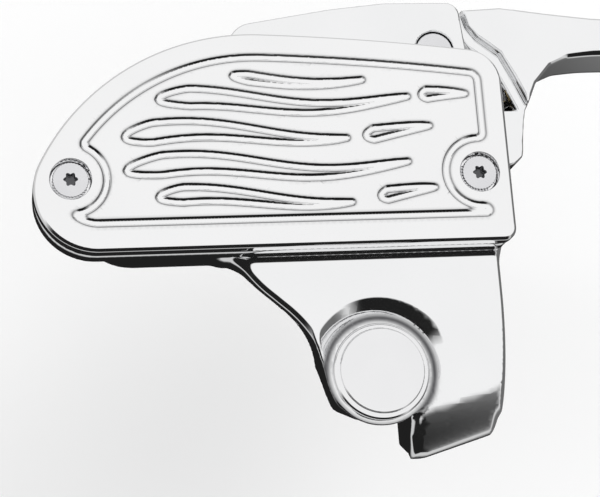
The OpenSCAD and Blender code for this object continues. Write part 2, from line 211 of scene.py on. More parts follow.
def smooth_curve(points, per=8):
    """Catmull-Rom points through the given ones."""
    p = [np.array(q, float) for q in points]
    p = [2 * p[0] - p[1]] + p + [2 * p[-1] - p[-2]]
    out = []
    for a, b, c, d in zip(p, p[1:], p[2:], p[3:]):
        for i in range(per):
            t = i / per
            out.append(0.5 * ((2 * b) + (c - a) * t + (2 * a - 5 * b + 4 * c - d) * t**2
                              + (3 * b - a - 3 * c + d) * t**3))
    out.append(p[-2])
    return [tuple(q) for q in out]


# ---------------------------------------------------------------- meshes from fields
BAND = 3.0  # how far from the surface a field is kept, in mm
PULLS, LONGEST_PULL, LEAST_SLOPE = 2, 0.7, 0.05
LARGE_FROM, LARGE_OVER, NORMAL_INSET = 0.8, 1.2, 0.35


def sample(a, p):
    """Trilinear value of the array at fractional index points."""
    i = np.clip(np.floor(p).astype(int), 0, np.array(a.shape) - 2)
    f = p - i
    out = 0
    for dx in (0, 1):
        for dy in (0, 1):
            for dz in (0, 1):
                w = np.abs(1 - dx - f[:, 0]) * np.abs(1 - dy - f[:, 1]) * np.abs(1 - dz - f[:, 2])
                out = out + w * a[i[:, 0] + dx, i[:, 1] + dy, i[:, 2] + dz]
    return out


def slope_at(a, p):
    ways = np.eye(3) / 2
    return np.stack([sample(a, p + w) - sample(a, p - w) for w in ways], 1)


def make_mesh(name, points, faces, normals):
    """A mesh from point and face arrays, smooth, with its own normal at each corner of each face."""
    mesh = bpy.data.meshes.new(name)
    sizes = np.concatenate([np.full(len(f), f.shape[1]) for f in faces])
    loops = np.concatenate([f.ravel() for f in faces]).astype(np.int32)
    mesh.vertices.add(len(points))
    mesh.vertices.foreach_set("co", np.asarray(points, np.float32).ravel())
    mesh.loops.add(len(loops))
    mesh.loops.foreach_set("vertex_index", loops)
    mesh.polygons.add(len(sizes))
    mesh.polygons.foreach_set("loop_start", np.concatenate([[0], np.cumsum(sizes)[:-1]]).astype(np.int32))
    mesh.update(calc_edges=True)
    mesh.shade_smooth()
    if normals is not None:
        mesh.normals_split_custom_set(normals.tolist())
    return mesh


def place(name, mesh, material, body, nodes):
    piece = bpy.data.objects.new(name, mesh)
    bpy.context.scene.collection.objects.link(piece)
    mesh.materials.append(material)
    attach(piece, body)
    if nodes:
        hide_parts(*nodes)
    return piece


def solid(name, g, field, material, body, nodes=(), adapt=0.0, painted_shade=None):
    """Meshes a field, pulls its points onto the true surface and takes its normals from the field.

    A large face takes its normals a little inside its corners, so that a flat face beside an edge stays flat.
    """
    field = np.clip(np.broadcast_to(field, g.shape), -BAND, BAND).astype(np.float32)
    grid = vdb.FloatGrid(BAND)
    grid.copyFromArray(field)
    points, tris, quads = grid.convertToPolygons(0.0, adapt)
    p = points.astype(float)
    for _ in range(PULLS):
        s = slope_at(field, p)
        move = s * (sample(field, p) / np.maximum((s * s).sum(1), LEAST_SLOPE * g.step**2))[:, None]
        length = np.linalg.norm(move, axis=1, keepdims=True)
        p -= move * np.minimum(1, LONGEST_PULL / np.maximum(length, 1e-9))
    faces = [f.astype(np.int64) for f in (tris, quads) if len(f)]
    corners = []
    for f in faces:
        reach = p[f].mean(1, keepdims=True) - p[f]
        size = np.linalg.norm(reach, axis=2, keepdims=True)
        large = np.clip((size - LARGE_FROM) / LARGE_OVER, 0, 1)
        corners.append((p[f] + reach * NORMAL_INSET * large).reshape(-1, 3))
    corners = np.concatenate(corners)
    normals = slope_at(field, corners)
    normals /= np.maximum(np.linalg.norm(normals, axis=1, keepdims=True), 1e-9)
    mesh = make_mesh(name, (p * g.step + g.lo) * MM, faces, normals)
    # the mask of painted shade is kept on each face corner
    if painted_shade is not None:
        mesh.attributes.new("painted_shade", "FLOAT", "CORNER").data.foreach_set(
            "value", sample(painted_shade, corners).astype(np.float32))
    triangles = sum(len(f) * (f.shape[1] - 2) for f in faces)
    print("SOLID", name, len(points), "points", triangles, "triangles")
    return place(name, mesh, material, body, nodes)


# ---------------------------------------------------------------- materials
def shader(name, **sockets):
    material = bpy.data.materials.new(name)
    material.use_nodes = True
    bsdf = material.node_tree.nodes["Principled BSDF"]
    for key, value in sockets.items():
        bsdf.inputs[key.replace("_", " ")].default_value = value
    return material, material.node_tree, bsdf


def noise(tree, scale, detail=3.0, stretch=None):
    coords = tree.nodes.new("ShaderNodeTexCoord")
    out = coords.outputs["Object"]
    if stretch:
        mapping = tree.nodes.new("ShaderNodeMapping")
        mapping.inputs["Scale"].default_value = stretch
        tree.links.new(out, mapping.inputs["Vector"])
        out = mapping.outputs["Vector"]
    texture = tree.nodes.new("ShaderNodeTexNoise")
    texture.inputs["Scale"].default_value = scale
    texture.inputs["Detail"].default_value = detail
    tree.links.new(out, texture.inputs["Vector"])
    return texture.outputs["Fac"]


def ramp(tree, value, low, high, lo_at=0.3, hi_at=0.7):
    node = tree.nodes.new("ShaderNodeMapRange")
    node.inputs["From Min"].default_value = lo_at
    node.inputs["From Max"].default_value = hi_at
    node.inputs["To Min"].default_value = low
    node.inputs["To Max"].default_value = high
    tree.links.new(value, node.inputs["Value"])
    return node.outputs["Result"]


def tint(tree, value, dark, light):
    node = tree.nodes.new("ShaderNodeMix")
    node.data_type = "RGBA"
    node.inputs["A"].default_value = (*dark, 1)
    node.inputs["B"].default_value = (*light, 1)
    tree.links.new(value, node.inputs["Factor"])
    return node.outputs["Result"]


def bump(tree, bsdf, value, strength, distance):
    node = tree.nodes.new("ShaderNodeBump")
    node.inputs["Strength"].default_value = strength
    node.inputs["Distance"].default_value = distance
    tree.links.new(value, node.inputs["Height"])
    tree.links.new(node.outputs["Normal"], bsdf.inputs["Normal"])


def paint_shade(tree, bsdf, colour):
    """Paints shade into the base colour, darkening it by the mesh's corner attribute of painted shade."""
    mix = tree.nodes.new("ShaderNodeMix")
    mix.data_type = "RGBA"
    mix.inputs["B"].default_value = colour
    attribute = tree.nodes.new("ShaderNodeAttribute")
    attribute.attribute_name = "painted_shade"
    tree.links.new(bsdf.inputs["Base Color"].links[0].from_socket, mix.inputs["A"])
    tree.links.new(attribute.outputs["Fac"], mix.inputs["Factor"])
    tree.links.new(mix.outputs["Result"], bsdf.inputs["Base Color"])


# painted shade: the dark colour painted into the cover's grooves, the screw sockets and the pocket's foot
PAINTED_SHADE_COLOUR = (0.1, 0.1, 0.105, 1)
METAL_WAVE, SOFT_GRAIN = 0.0004, 0.0002  # bump heights in metres


def metal(name, dark, light, rough, scale=60, wave=0.0, stretch=None):
    """Polished or brushed metal: its tone and its gloss drift a little across the surface."""
    material, tree, bsdf = shader(name, Metallic=1.0)
    broad = noise(tree, scale, stretch=stretch)
    fine = noise(tree, scale * 14, 2.0, stretch)
    tree.links.new(tint(tree, broad, dark, light), bsdf.inputs["Base Color"])
    tree.links.new(ramp(tree, fine, *rough), bsdf.inputs["Roughness"])
    if wave:
        bump(tree, bsdf, broad, wave, METAL_WAVE)
    # painted shade from the mesh's corner attribute darkens the base colour
    paint_shade(tree, bsdf, PAINTED_SHADE_COLOUR)
    return material


def soft(name, dark, light, rough, scale, grain, spec=0.5):
    """Rubber or plastic with a fine grain."""
    material, tree, bsdf = shader(name)
    bsdf.inputs["Specular IOR Level"].default_value = spec
    fine = noise(tree, scale)
    tree.links.new(tint(tree, fine, dark, light), bsdf.inputs["Base Color"])
    tree.links.new(ramp(tree, fine, *rough), bsdf.inputs["Roughness"])
    bump(tree, bsdf, fine, grain, SOFT_GRAIN)
    return material


CHROME = metal("polished_chrome", (0.84, 0.845, 0.85), (0.9, 0.9, 0.905), (0.035, 0.06), 50)
COVER_CHROME = metal("cover_chrome", (0.86, 0.86, 0.865), (0.91, 0.91, 0.912), (0.04, 0.065), 40)
PLUG_CHROME = metal("plug_chrome", (0.8, 0.8, 0.81), (0.87, 0.87, 0.875), (0.06, 0.1), 60)
STEEL = metal("polished_steel", (0.68, 0.68, 0.7), (0.78, 0.78, 0.79), (0.12, 0.2), 200)
PLAIN = metal("plain_steel", (0.5, 0.51, 0.53), (0.64, 0.65, 0.67), (0.28, 0.42), 260)
ANODISED = metal("anodised_aluminium", (0.5, 0.4, 0.2), (0.62, 0.5, 0.27), (0.25, 0.36), 220)
BRONZE = metal("sintered_bronze", (0.45, 0.28, 0.13), (0.6, 0.4, 0.2), (0.35, 0.5), 900)
BRASS = metal("terminal_brass", (0.66, 0.5, 0.22), (0.78, 0.62, 0.32), (0.2, 0.32), 300)
RUBBER = soft("black_rubber", (0.012, 0.012, 0.013), (0.03, 0.03, 0.032), (0.5, 0.7), 1400, 0.25)
WHITE = soft("white_plastic", (0.74, 0.73, 0.68), (0.84, 0.83, 0.78), (0.35, 0.5), 700, 0.1)
BLACK = soft("black_plastic", (0.02, 0.02, 0.022), (0.04, 0.04, 0.042), (0.32, 0.46), 1100, 0.2)

# ---------------------------------------------------------------- reservoir cover
# plain flame tongues: root x, root y, length, half width
LICKS = (
    (-60, 17.2, 38, 1.7), (-66, 23.6, 56, 2.2), (-66, 30.4, 44, 2.2), (-59, 37.0, 50, 2.0),
    (-44, 42.0, 26, 0.9), (-16, 17.6, 11, 1.2), (-18, 30.4, 13, 1.3), (-6, 37.0, 9, 1.1),
)
LICK_STEPS, ROOT_SHARE = 32, 0.12
SWAY, SWAY_LENGTH, SWAY_START = 1.3, 52.0, -66.0
BORDER_INSET, BORDER_ROUND_SCREW = 5.4, 7.0
GROOVE_HALF, GROOVE_DEPTH, GROOVE_SLOPE = 0.95, 0.6, 42
BEVEL_WIDTH, BEVEL_SLOPE = 2.0, 24
HEAD_HOLE_R, HEAD_HOLE_DEPTH, COVER_POST_R = 4.05, 2.6, 4.8


def lick(x0, y0, length, half):
    """The outline of one flame tongue, from its tip round its root and back to its tip."""
    low, high = [], []
    for i in range(LICK_STEPS + 1):
        t = (i / LICK_STEPS) ** 1.5
        x = x0 + length * t
        y = y0 + SWAY * math.sin(2 * math.pi * (x - SWAY_START) / SWAY_LENGTH)
        width = half * math.sqrt(min(1, t / ROOT_SHARE)) * (1 - t) ** 0.7
        low.append((x, y - width))
        high.append((x, y + width))
    return low[::-1] + high[1:]


def cover_field(g):
    side = poly(g.x, g.y, outline(0))
    tilt = math.radians(BEVEL_SLOPE)
    bevel = (side + BEVEL_WIDTH) * math.sin(tilt) + (g.z - COVER_TOP) * math.cos(tilt)
    field = meet(meet(side, g.z - COVER_TOP, 0.3), bevel, 0.8)
    field = meet(field, COVER_BASE - g.z, 0.3)
    border = poly(g.x, g.y, outline(BORDER_INSET))
    for at in SCREWS:
        border = cut(border, disc(g.x, g.y, at, BORDER_ROUND_SCREW), 1.5)
    near = np.abs(border)
    for size in LICKS:
        near = np.minimum(near, stroke(g.x, g.y, lick(*size)))
    slope = math.radians(GROOVE_SLOPE)
    wall = (near - GROOVE_HALF) * math.sin(slope) - (g.z - COVER_TOP) * math.cos(slope)
    field = cut(field, meet(wall, COVER_TOP - GROOVE_DEPTH - g.z, 0.06), 0.06)
    for at in SCREWS:
        head_hole = rod_z(g, at, HEAD_HOLE_R, COVER_TOP - HEAD_HOLE_DEPTH, COVER_TOP + 2, 0.2)
        field = cut(field, head_hole, 0.35)
    inner = meet(poly(g.x, g.y, outline(WALL_IN + WALL_T)), slab(g.z, COVER_BASE - 1, COVER_BASE + 1.4), 0.3)
    for at in SCREWS:
        inner = cut(inner, disc(g.x, g.y, at, COVER_POST_R), 0.2)
    # painted shade: a dark band along the top of the groove's walls
    along = np.clip(1.3 - np.abs(near - GROOVE_HALF + 0.1) / 0.26, 0, 1)
    painted_shade = along * np.clip((COVER_TOP - g.z) / 0.1, 0, 1)
    return cut(field, inner, 0.2), painted_shade


g = Grid(cover_lo - 1, cover_hi + 1, 0.17)
field, painted_shade = cover_field(g)
solid("cover", g, field, COVER_CHROME, "master_body", ["reservoir_cover"], 0.02, painted_shade)

# ---------------------------------------------------------------- body casting
NECK = (smooth_curve([(-44.5, 9), (-39.8, 3.1), (-36, -0.5), (-33.4, -2.9), (-31.2, -5.4), (-29.3, -8.3),
                      (-27.8, -11.6), (-26.6, -15.2), (-25.6, -18.6), (-24.2, -21.4), (-20, -23)])
        + [(CLAMP_X, -23), (CLAMP_X, 24), (-48, 24)])
LUG = [(-9.3, 24), (-9.3, -27.5), (-8.3, -31.6), (-4.8, -32.2), (CLAMP_X, -27.6), (CLAMP_X, 24)]
EAR = ([(-42, 38), (-42, 54)] + arc((-36, 54), 6, 180, 107) + [(-20, 62.7), (-8, EAR_FRONT)]
       + arc((EAR_X - 3.3, EAR_FRONT - 3), 3, 90, 0) + [(EAR_X + 0.4, 53), (EAR_X + 1.2, 44), (MOUTH_X, 38)])
SADDLE_REAR, SADDLE_TOP, SADDLE_TURN = 26.5, 17.6, math.radians(15)
RIM_INSET, RIM_LEAN_H, RIM_LEAN = 0.15, 1.3, math.radians(13)
WALL_INSET, WALL_LEAN = 0.7, 0.02
POST_R, POST_HOLE_R, POST_HOLE_DEPTH, INNER_POST_R = 4.6, 2.0, 9, 4.4
BARREL_END, BARREL_WEB = -52, 10
OUTLET_BOSS_R, OUTLET_BOSS_BASE, OUTLET_R, PASSAGE_R, PORT_X = 8.8, -11, 4.5, 1.5, -15
POCKET_BASE_R, POCKET_RIM_R, POCKET_FLOOR, POCKET_RIM = 11.0, 16.6, 13.6, 18.6
LOW_EAR_X = -22
PAST_X, PAST_Y = 25, 80  # beyond the casting, where a cut runs out of it
SLOT_EYE_R, SLOT_WIDTH = 9.5, 7
BOOT_R, BOOT_X, SNAP_R, SNAP_X = 8.6, 0.8, 9.2, (1.6, 2.6)
PIN_HOLE_R, PIN_HEAD_R, BOLT_HOLE_R = 3.6, 4.15, 3.0
PLUNGER_HOLE_R, PLUNGER_HOLE_X, SWITCH_HOLE_R = 3.6, (-22.5, -8.5), 1.5


def body_field(g):
    turns = [math.radians(i * 2.5) for i in range(37)]
    saddle_profile = [(-SADDLE_REAR * math.cos(a), SPLIT + (SADDLE_TOP - SPLIT) * math.sin(a)) for a in turns]
    saddle_profile += [(45, SADDLE_TOP), (45, SPLIT)]
    # the rim leans in towards the seam, and the wall leans in a little towards its foot
    lean = np.maximum(g.z - RIM_TOP + RIM_LEAN_H, 0) * math.tan(RIM_LEAN)
    rim_side = poly(g.x, g.y, outline(RIM_INSET)) + lean
    rim = meet(rim_side, slab(g.z, RIM_BASE, RIM_TOP), 0.25)
    wall = well(g, WALL_INSET, SKIRT_Z, RIM_BASE + 2, 0.8) + (RIM_BASE - g.z) * WALL_LEAN
    wall = cut(wall, well(g, WALL_IN + WALL_T, SKIRT_Z - 3, FLOOR_Z, 0.8), 0.6)
    shell = join(rim, wall, 0.3)
    shell = join(shell, rod_z(g, SCREWS[0], POST_R, FLOOR_Z, RIM_BASE + 2, 1.0), 1.2)
    barrel = rod_x(g, BARREL_R, BARREL_END, MOUTH_X, r=0.6)
    web_lo = (BARREL_END + 2, BORE_Y - BARREL_WEB, BORE_Z)
    web = block(g, web_lo, (MOUTH_X, BORE_Y + BARREL_WEB, FLOOR_Z + 2), 0.6)
    barrel = join(barrel, web, 1)
    barrel = join(barrel, rod_z(g, OUTLET, OUTLET_BOSS_R, OUTLET_BOSS_BASE, FLOOR_Z + 2, 0.6), 2)
    shell = join(shell, barrel, 1.5)
    across = g.y * math.cos(SADDLE_TURN) - (g.x - CLAMP_X) * math.sin(SADDLE_TURN)
    profile = poly(across, g.z, saddle_profile)
    reach = join(meet(poly(g.x, g.y, NECK), 6 - g.z, 0.5), prism(g, LUG, 0, SADDLE_TOP + 2, 1.2), 2)
    reach = np.minimum(reach, block(g, (-46, 9, 3), (CLAMP_X, 26, SADDLE_TOP + 2)))
    saddle = meet(profile, reach, 2.0)
    pocket = cone_z(g, MIRROR, POCKET_BASE_R, POCKET_RIM_R, POCKET_FLOOR, POCKET_RIM, 0.1)
    saddle = cut(saddle, pocket, 0.8)
    boss = cone_z(g, MIRROR, 6.6, 10.9, -2, 13.8, 0.5)
    saddle = join(saddle, boss, 1.2)
    field = join(shell, saddle, 3.2)
    top_ear = prism(g, EAR, SLOT_HIGH, EAR_TOP, 0.7)
    low = meet(prism(g, EAR, EAR_BASE, SLOT_HIGH + 1, 0.6), slab(g.x, LOW_EAR_X, 60), 0.6)
    field = join(field, np.minimum(top_ear, low), 1.0)
    slot = rod_z(g, PIVOT, SLOT_EYE_R, SLOT_LOW, SLOT_HIGH, 0.3)
    for x, y in ((-9, 55), (PIVOT[0] - SLOT_WIDTH, BORE_Y + BARREL_R - 2), (MOUTH_X, BORE_Y)):
        slot = np.minimum(slot, block(g, (x, y, SLOT_LOW), (PAST_X, PAST_Y, SLOT_HIGH), 0.3))
    slot = np.minimum(slot, block(g, (-60, 40, EAR_BASE - 3), (LOW_EAR_X, PAST_Y, SLOT_HIGH), 0.3))
    # the cuts for the lever stop at the barrel, whose end stays whole
    kept_barrel = np.minimum(BARREL_R - np.hypot(g.y - BORE_Y, g.z - BORE_Z), MOUTH_X - g.x)
    field = cut(field, np.maximum(slot, kept_barrel), 0.4)
    inside = well(g, WALL_IN + WALL_T, FLOOR_Z + FLOOR_T, RIM_TOP + 2, 0.8)
    for at in SCREWS:
        inside = cut(inside, disc(g.x, g.y, at, INNER_POST_R), 0.5)
        field = cut(field, rod_z(g, at, POST_HOLE_R, RIM_TOP - POST_HOLE_DEPTH, RIM_TOP + 1, 0), 0.1)
    field = cut(field, inside, 0.4)
    field = cut(field, rod_x(g, BORE_R, BORE_END, MOUTH_X + 2), 0.2)
    field = cut(field, rod_x(g, BOOT_R, BOOT_X, MOUTH_X + 2), 0.3)
    field = cut(field, rod_x(g, SNAP_R, *SNAP_X, r=0), 0.1)
    field = cut(field, rod_x(g, PASSAGE_R, OUTLET[0], BORE_END + 1, z=-1, r=0), 0.1)
    field = cut(field, rod_z(g, (PORT_X, BORE_Y), PASSAGE_R, BORE_Z + 2, FLOOR_Z + FLOOR_T + 1, 0), 0.1)
    field = cut(field, rod_z(g, OUTLET, OUTLET_R, OUTLET_BOSS_BASE - 2, 1), 0.4)
    bar = disc(g.y, g.z, (0, 0), BAR_R)
    relief = meet(disc(g.y, g.z, (0, 0), BAR_R + 0.6), g.x + CLAMP_X, 0.1)
    field = cut(field, np.minimum(meet(bar, slab(g.x, -CLAMP_X - 1, 20), 0.1), relief), 0.5)
    field = cut(field, block(g, (-CLAMP_X - 20, -34, -3), (CLAMP_X + 1, 15, SPLIT), 0.1), 0.2)
    field = cut(field, rod_z(g, PIVOT, PIN_HOLE_R, EAR_BASE - 2, EAR_TOP + 2, 0), 0.1)
    field = cut(field, rod_z(g, PIVOT, PIN_HEAD_R, EAR_TOP - 2, EAR_TOP + 2, 0.2), 0.3)
    field = cut(field, rod_x(g, PLUNGER_HOLE_R, *PLUNGER_HOLE_X, PLUNGER_Y, r=0), 0.1)
    field = cut(field, rod_z(g, SWITCH_SCREW, SWITCH_HOLE_R, SLOT_HIGH - 1, SLOT_HIGH + 3, 0), 0.1)
    for side in (-1, 1):
        field = cut(field, rod_z(g, (0, side * BOLT_Y), BOLT_HOLE_R, -2, 8.5, 0.1), 0.2)
    # painted shade: a dark ring round the foot of the pocket
    painted_shade = np.clip(1.4 - np.hypot(disc(g.x, g.y, MIRROR, 11.2), g.z - 13.8) / 0.9, 0, 1)
    return cut(field, rod_z(g, MIRROR, 4.0, 8.2, 20, 0.1), 0.2), painted_shade


body_lo, body_hi = box_mm("cylinder_body")
g = Grid(body_lo - 1, body_hi + 1, 0.42)
field, painted_shade = body_field(g)
solid("body_casting", g, field, CHROME, "master_body", ["cylinder_body"], 0.005, painted_shade)

# ---------------------------------------------------------------- handlebar clamp
FOOT = [(-6.8, -10), (-6.8, -26), (-5, -28), (-1, -28.3),
        (CLAMP_X - 2, -25.6), (CLAMP_X, -24), (CLAMP_X, -10)]
CLAMP_R, CLAMP_BASE, CLAMP_HOLE_R, CLAMP_SEAT_R = 18.4, -14, 3.3, 6.2


def clamp_field(g):
    field = meet(disc(g.y, g.z, (0, 0), CLAMP_R), slab(g.x, -CLAMP_X, CLAMP_X), 1.2)
    field = join(field, prism(g, FOOT, CLAMP_BASE, 3, 1.0), 1.5)
    field = join(field, block(g, (-CLAMP_X, 12, CLAMP_BASE), (CLAMP_X, 23, 3), 1.0), 1.5)
    field = meet(field, g.z + SPLIT, 0.3)
    field = cut(field, disc(g.y, g.z, (0, 0), BAR_R), 0.4)
    for side, seat in ((-1, CLAMP_BASE), (1, CLAMP_BASE + 1)):
        field = cut(field, rod_z(g, (0, side * BOLT_Y), CLAMP_HOLE_R, -30, 1, 0), 0.2)
        field = cut(field, rod_z(g, (0, side * BOLT_Y), CLAMP_SEAT_R, -30, seat, 0.2), 0.5)
    return field


clamp_lo, clamp_hi = box_mm("handlebar_clamp")
g = Grid(clamp_lo - 1, clamp_hi + 1, 0.35)
solid("clamp", g, clamp_field(g), CHROME, "master_body", ["handlebar_clamp"], 0.0)

# ---------------------------------------------------------------- lever
BLADE = ((21, 57.2), (75, 57), (105, 45.5), (163, 58.5))
ROOT_LOW, ROOT_HIGH = SLOT_LOW + 0.3, SLOT_HIGH - 0.3
ROOT = [(2.1, 61.8), (12, 63.2), (24, 62.2), (25, 50), (22.3, 42.5), (21.4, 38.5), (20.3, 30.8), (18.6, 29.6),
        (16.5, 29), (16.5, 33), (13.2, 33.5), (12.6, 38), (12.6, 42.5), (6, 46)]
TAB = [(2.1, 61.8), (-7.4, 61.2), (-7.4, 56), (-4, 52)]
WEB_X = 9.4
WEB = [(WEB_X, 63.2), (10.4, 59.5), (12.2, 57), (17, 53.2), (19.6, 47.8), (22.2, 41.8), (24.4, 46.6),
       (28, 50.6), (32, 52.3), (38, 53.2), (46, 53.7), (46, 60.5), (38, 61), (28, 62.3), (18, 63.7)]
LEVER_HALF, EYE_R, BUSH_R = 7, 8.5, 5
TOE, TOE_R = (16.5, 33), 4
BALL, BALL_R = (166, 59.3), 8
BLADE_HALF, BLADE_FLARE, BLADE_FLARE_LENGTH, BLADE_STEPS = 3.5, 1.9, 9, 120


def blade_outline():
    sides = [[], []]
    for i in range(BLADE_STEPS + 1):
        t = i / BLADE_STEPS
        w = ((1 - t) ** 3, 3 * t * (1 - t) ** 2, 3 * t * t * (1 - t), t**3)
        x, y = (sum(k * p[axis] for k, p in zip(w, BLADE)) for axis in (0, 1))
        half = BLADE_HALF + BLADE_FLARE * math.exp(-(x - BLADE[0][0]) / BLADE_FLARE_LENGTH)
        sides[0].append((x, y - half))
        sides[1].append((x, y + half))
    return sides[0] + sides[1][::-1]


def lever_field(g):
    low, high = BORE_Z - LEVER_HALF, BORE_Z + LEVER_HALF
    eye = rod_z(g, PIVOT, EYE_R, ROOT_LOW, ROOT_HIGH, 0.5)
    root = join(eye, prism(g, ROOT, ROOT_LOW, ROOT_HIGH, 0.5), 0.25)
    root = join(root, rod_z(g, TOE, TOE_R, ROOT_LOW, ROOT_HIGH, 0.5), 0.5)
    root = join(root, prism(g, TAB, ROOT_LOW, ROOT_HIGH, 0.4), 0.6)
    blade = meet(poly(g.x, g.y, blade_outline()), slab(g.z, low, high), 1.8)
    blade = join(blade, prism(g, WEB, low, high, 1.3), 1.2)
    # beside the web the root slopes down steeply from the web's top edge
    fall = np.maximum(high - poly(g.x, g.y, WEB) * 1.3, BORE_Z + 0.5)
    beside = np.maximum(np.maximum((fall - g.z) * 0.6, WEB_X - g.x), 41 - g.y)
    root = cut(root, beside, 0.3)
    ball = np.sqrt((g.x - BALL[0]) ** 2 + (g.y - BALL[1]) ** 2 + (g.z - BORE_Z) ** 2) - BALL_R
    field = join(join(blade, root, 0.7), ball, 3.0)
    return cut(field, rod_z(g, PIVOT, BUSH_R, ROOT_LOW - 1, ROOT_HIGH + 1, 0), 0.3)


lever_lo, lever_hi = box_mm("brake_lever")
g = Grid(lever_lo - 1, lever_hi + 1, 0.4)
solid("lever_blade", g, lever_field(g), CHROME, "lever", ["brake_lever"], 0.0)


# ---------------------------------------------------------------- plug, screws and pin
PLUG_R, PLUG_TOP_R, PLUG_STEM_R, PLUG_STEP = 9.85, 8.6, 3.98, 14.5


def plug_field(g):
    field = rod_z(g, MIRROR, PLUG_R, 13.82, 15.7, 0.8)
    field = join(field, rod_z(g, MIRROR, PLUG_TOP_R, PLUG_STEP, 16.4, 0.3), 0.1)
    return join(field, rod_z(g, MIRROR, PLUG_STEM_R, 8.6, PLUG_STEP, 0.4), 0.3)


plug_lo, plug_hi = box_mm("mirror_hole_plug")
g = Grid(plug_lo - 0.6, plug_hi + 0.6, 0.2)
solid("plug", g, plug_field(g), PLUG_CHROME, "master_body", ["mirror_hole_plug"], 0.0)


HEAD_R, HEAD_H, DOME_R, KNURLS, KNURL_DEPTH, SHANK_R = 3.5, 2.28, 22, 36, 0.06, 1.98
SOCKET_R, SOCKET_LOBE, SOCKET_DEPTH = 1.2, 0.2, 1.6


def screw_field(g, at, low, top):
    """A domed socket head with a fine knurl round it and a six-lobed socket."""
    u, v = g.x - at[0], g.y - at[1]
    around = np.arctan2(v, u)
    radius = np.hypot(u, v)
    seat = top - HEAD_H
    head = meet(radius - HEAD_R + KNURL_DEPTH * np.cos(KNURLS * around), slab(g.z, seat, top), 0.5)
    head = meet(head, np.sqrt(radius**2 + (g.z - top + DOME_R) ** 2) - DOME_R, 0.2)
    field = np.minimum(head, meet(radius - SHANK_R, slab(g.z, low, seat + 0.5), 0.3))
    lobes = radius - SOCKET_R - SOCKET_LOBE * np.cos(6 * around)
    socket = meet(lobes, slab(g.z, top - SOCKET_DEPTH, top + 1), 0.05)
    # painted shade: the socket darkens below its mouth
    painted_shade = np.clip((1.55 - radius) / 0.2, 0, 1) * np.clip((top - 0.45 - g.z) / 0.2, 0, 1)
    return cut(field, socket, 0.12), painted_shade


screws_lo, screws_hi = box_mm("cover_screws")
for i, at in enumerate(SCREWS):
    g = Grid((at[0] - 4, at[1] - 4, screws_lo[2] - 0.5), (at[0] + 4, at[1] + 4, screws_hi[2] + 0.5), 0.12)
    field, painted_shade = screw_field(g, at, screws_lo[2], screws_hi[2])
    solid(f"cover_screw_{i + 1}", g, field, STEEL, "master_body",
          ["cover_screws"], 0.0, painted_shade)


PIN_TOP_R, PIN_TOP_T, PIN_R, CLIP_R = 3.95, 1.58, 3.5, 2.7


def pin_field(g, low, top):
    field = rod_z(g, PIVOT, PIN_TOP_R, top - PIN_TOP_T, top, 0.45)
    field = join(field, rod_z(g, PIVOT, PIN_R, low, top - 1, 0.4), 0.1)
    groove = np.maximum(slab(g.z, EAR_BASE - 1.2, EAR_BASE - 0.3), -disc(g.x, g.y, PIVOT, CLIP_R))
    return cut(field, groove, 0.1)


pin_lo, pin_hi = box_mm("pivot_pin")
g = Grid(pin_lo - 0.6, pin_hi + 0.6, 0.2)
solid("pin", g, pin_field(g, pin_lo[2], pin_hi[2]), STEEL, "master_body", ["pivot_pin"])

# ---------------------------------------------------------------- return spring
spring_lo, spring_hi = box_mm("return_spring")


def spring():
    wire, coil, turns, ring, steps = 0.65, 5.2, 6.0, 16, 40
    rows = int(turns * steps) + 1
    t = np.linspace(0, 1, rows)
    pitch = np.interp(t, [0, 0.12, 0.88, 1], [0, 0.05, 0.95, 1])
    x = spring_lo[0] + wire + (spring_hi[0] - spring_lo[0] - 2 * wire) * pitch
    a = 2 * math.pi * turns * t
    b = np.arange(ring) * 2 * math.pi / ring
    r = coil + wire * np.cos(b)[None, :]
    points = np.stack([x[:, None] + wire * np.sin(b)[None, :], BORE_Y + r * np.cos(a)[:, None],
                       BORE_Z + r * np.sin(a)[:, None]], -1).reshape(-1, 3)
    i, j = np.meshgrid(np.arange(rows - 1), np.arange(ring), indexing="ij")
    k = (j + 1) % ring
    sides = np.stack([i * ring + j, (i + 1) * ring + j, (i + 1) * ring + k, i * ring + k], -1).reshape(-1, 4)
    caps = np.stack([np.arange(ring), (rows - 1) * ring + np.arange(ring)[::-1]])
    return make_mesh("spring", points * MM, [sides, caps], None)


piece = place("spring", spring(), PLAIN, "master_body", ["return_spring"])
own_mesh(piece)

# ---------------------------------------------------------------- CAD pieces that keep their own shape
KEPT = {
    "diaphragm": RUBBER, "diaphragm_plate": WHITE, "port_baffle": PLAIN, "clamp_bolts": STEEL,
    "clamp_washers": PLAIN, "piston": ANODISED, "primary_cup": RUBBER, "secondary_cup": RUBBER,
    "spring_seat": PLAIN, "stop_washer": PLAIN, "snap_ring": PLAIN, "dust_boot": RUBBER, "lever_bush": BRONZE,
    "pivot_clip": PLAIN, "brake_switch_housing": BLACK, "brake_switch_plunger": WHITE,
    "brake_switch_terminals": BRASS, "brake_switch_screw": PLAIN,
}
for name, material in KEPT.items():
    node = frame["nodes"][name]
    node.data.materials.clear()
    node.data.materials.append(material)
for name, node in frame["nodes"].items():
    if name not in KEPT:
        node.data.materials.clear()
        node.data.materials.append(CHROME)

